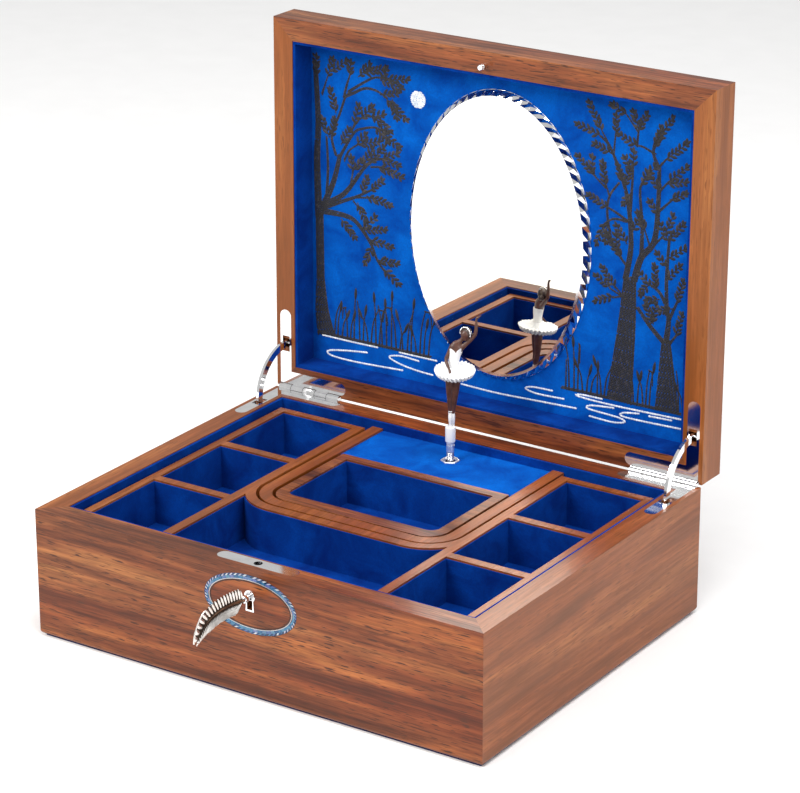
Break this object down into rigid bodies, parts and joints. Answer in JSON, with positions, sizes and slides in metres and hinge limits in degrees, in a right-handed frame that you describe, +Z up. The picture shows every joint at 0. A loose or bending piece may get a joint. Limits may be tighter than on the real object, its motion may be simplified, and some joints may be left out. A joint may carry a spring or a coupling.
{
  "type": "ballerina jewellery box",
  "caption": "Rectangular koa jewellery box with a mirror lid on quadrant hinges, lift-out trays, a lock with a feather key and a dancer turned by a music movement.",
  "frame": {"origin": "centre of the case's footprint on the resting plane, under the base pad", "axes": "+X to the right as seen from the front, -Y to the front where the key is, +Z up; the lid rests open, the trays are in and the key is in the lock"},
  "size_m": [0.3, 0.3123, 0.3142],
  "materials": {
    "koa": "satin lacquer over golden brown figured koa",
    "plywood": "plain thin plywood",
    "blue_suede": "royal blue suede, embroidered on the lid's panel",
    "navy_suede": "dark navy suede pad",
    "mirror": "silvered",
    "mirror_edge": "cut facets round the mirror",
    "chrome": "polished",
    "steel": "turned",
    "brass": "turned",
    "iron": "painted grey",
    "pearl": "blue mother-of-pearl chips with a silver line",
    "antique_silver": "antique silver with darkened grooves",
    "white_gloss": "gloss white over a metal end",
    "dancer_paint": "dark brown skin, white bodice and shoes",
    "tulle": "white tulle"
  },
  "bodies": {
    "base": {"base_front": "koa", "base_back": "koa", "base_left": "koa", "base_right": "koa", "base_bottom": "koa", "base_pad": "navy_suede", "base_lining": "blue_suede", "stage_wall": "koa", "stage_front": "koa", "stage_board": "plywood", "stage_suede": "blue_suede", "spindle_collar": "chrome", "tray_rails": "koa", "lock_plate": "chrome", "lock_case": "steel", "keyhole_escutcheon": "chrome", "inlay_field": "koa", "inlay_ring": "pearl", "hinge_base_leaf_left": "chrome", "hinge_base_leaf_right": "chrome", "base_screws": "chrome", "key_well": "plywood", "movement_bedplate": "iron", "music_comb": "steel"},
    "lid": {"lid_front": "koa", "lid_back": "koa", "lid_left": "koa", "lid_right": "koa", "lid_top_panel": "koa", "lid_lining": "blue_suede", "lid_suede_panel": "blue_suede", "mirror_glass": "mirror", "mirror_edge": "mirror_edge", "lid_catch_pin": "chrome", "hinge_lid_leaf_left": "chrome", "hinge_lid_leaf_right": "chrome", "lid_screws": "chrome"},
    "arm_left": {"quadrant_arm_left": "chrome"},
    "arm_right": {"quadrant_arm_right": "chrome"},
    "outer_tray": {"outer_tray_bottom": "plywood", "outer_tray_frame": "koa", "outer_tray_cove": "koa", "outer_tray_dividers": "koa", "outer_tray_cups": "blue_suede"},
    "inner_tray": {"inner_tray_bottom": "plywood", "inner_tray_frame": "koa", "inner_tray_cup": "blue_suede"},
    "barrel": {"spring_barrel": "brass", "spindle": "steel"},
    "cylinder": {"music_cylinder": "brass"},
    "governor_wheel": {"governor_wheel": "brass"},
    "fly": {"governor_fly": "brass"},
    "winding_key": {"winding_key": "steel"},
    "spring_joint": {"spring_knuckle": "steel"},
    "dancer": {"dancer_stem": "white_gloss", "dancer_figure": "dancer_paint", "dancer_tutu": "tulle"},
    "lock_core": {"lock_core": "steel"},
    "lock_bolt": {"lock_bolt": "steel"},
    "key": {"feather_key": "antique_silver"}
  },
  "joints": [
    {"name": "lid_hinge", "type": "hinge", "parent": "base", "child": "lid", "pos_m": [0, 0.118, 0.079], "axis": [1, 0, 0], "range_deg": [0, 90.5]},
    {"name": "left_arm_swing", "type": "hinge", "parent": "base", "child": "arm_left", "pos_m": [0, 0.118, 0.079], "axis": [1, 0, 0], "range_deg": [0, 63.4]},
    {"name": "right_arm_swing", "type": "hinge", "parent": "base", "child": "arm_right", "pos_m": [0, 0.118, 0.079], "axis": [1, 0, 0], "range_deg": [0, 63.4]},
    {"name": "outer_tray_lift", "type": "slide", "parent": "base", "child": "outer_tray", "axis": [0, 0, -1], "range_m": [-0.06, 0]},
    {"name": "inner_tray_lift", "type": "slide", "parent": "base", "child": "inner_tray", "axis": [0, 0, -1], "range_m": [-0.06, 0]},
    {"name": "barrel_spin", "type": "hinge", "parent": "base", "child": "barrel", "pos_m": [0, 0.084, 0.0215], "axis": [0, 0, 1], "continuous": true},
    {"name": "cylinder_spin", "type": "hinge", "parent": "base", "child": "cylinder", "pos_m": [-0.0224, 0.084, 0.0215], "axis": [0, 0, 1], "continuous": true},
    {"name": "governor_wheel_spin", "type": "hinge", "parent": "base", "child": "governor_wheel", "pos_m": [0.0184, 0.084, 0.0215], "axis": [0, 0, 1], "continuous": true},
    {"name": "fly_spin", "type": "hinge", "parent": "base", "child": "fly", "pos_m": [0.0304, 0.084, 0.0215], "axis": [0, 0, 1], "continuous": true},
    {"name": "winding_key_turn", "type": "hinge", "parent": "base", "child": "winding_key", "pos_m": [0, 0.084, 0.0072], "axis": [0, 0, 1], "continuous": true},
    {"name": "dancer_fold", "type": "hinge", "parent": "base", "child": "spring_joint", "pos_m": [0, 0.084, 0.0775], "axis": [1, 0, 0], "range_deg": [0, 88.74]},
    {"name": "dancer_spin", "type": "hinge", "parent": "spring_joint", "child": "dancer", "pos_m": [0, 0.084, 0.0775], "axis": [0, 0, 1], "continuous": true},
    {"name": "key_turn", "type": "hinge", "parent": "base", "child": "lock_core", "pos_m": [0, -0.109, 0.0623], "axis": [0, 1, 0], "range_deg": [0, 90]},
    {"name": "key_pull", "type": "slide", "parent": "lock_core", "child": "key", "axis": [0, 1, 0], "range_m": [-0.022, 0]},
    {"name": "bolt_slide", "type": "slide", "parent": "base", "child": "lock_bolt", "axis": [1, 0, 0], "range_m": [0, 0.00378]}
  ],
  "couplings": [
    {"joint": "left_arm_swing", "follows": "lid_hinge", "ratio": 0.7},
    {"joint": "right_arm_swing", "follows": "lid_hinge", "ratio": 0.7},
    {"joint": "dancer_fold", "follows": "lid_hinge", "ratio": 0.98},
    {"joint": "dancer_spin", "follows": "barrel_spin", "ratio": 1},
    {"joint": "cylinder_spin", "follows": "barrel_spin", "ratio": -1.8},
    {"joint": "governor_wheel_spin", "follows": "barrel_spin", "ratio": -3.6},
    {"joint": "fly_spin", "follows": "barrel_spin", "ratio": 18},
    {"joint": "bolt_slide", "follows": "key_turn", "m_per_rad": 0.0024}
  ]
}
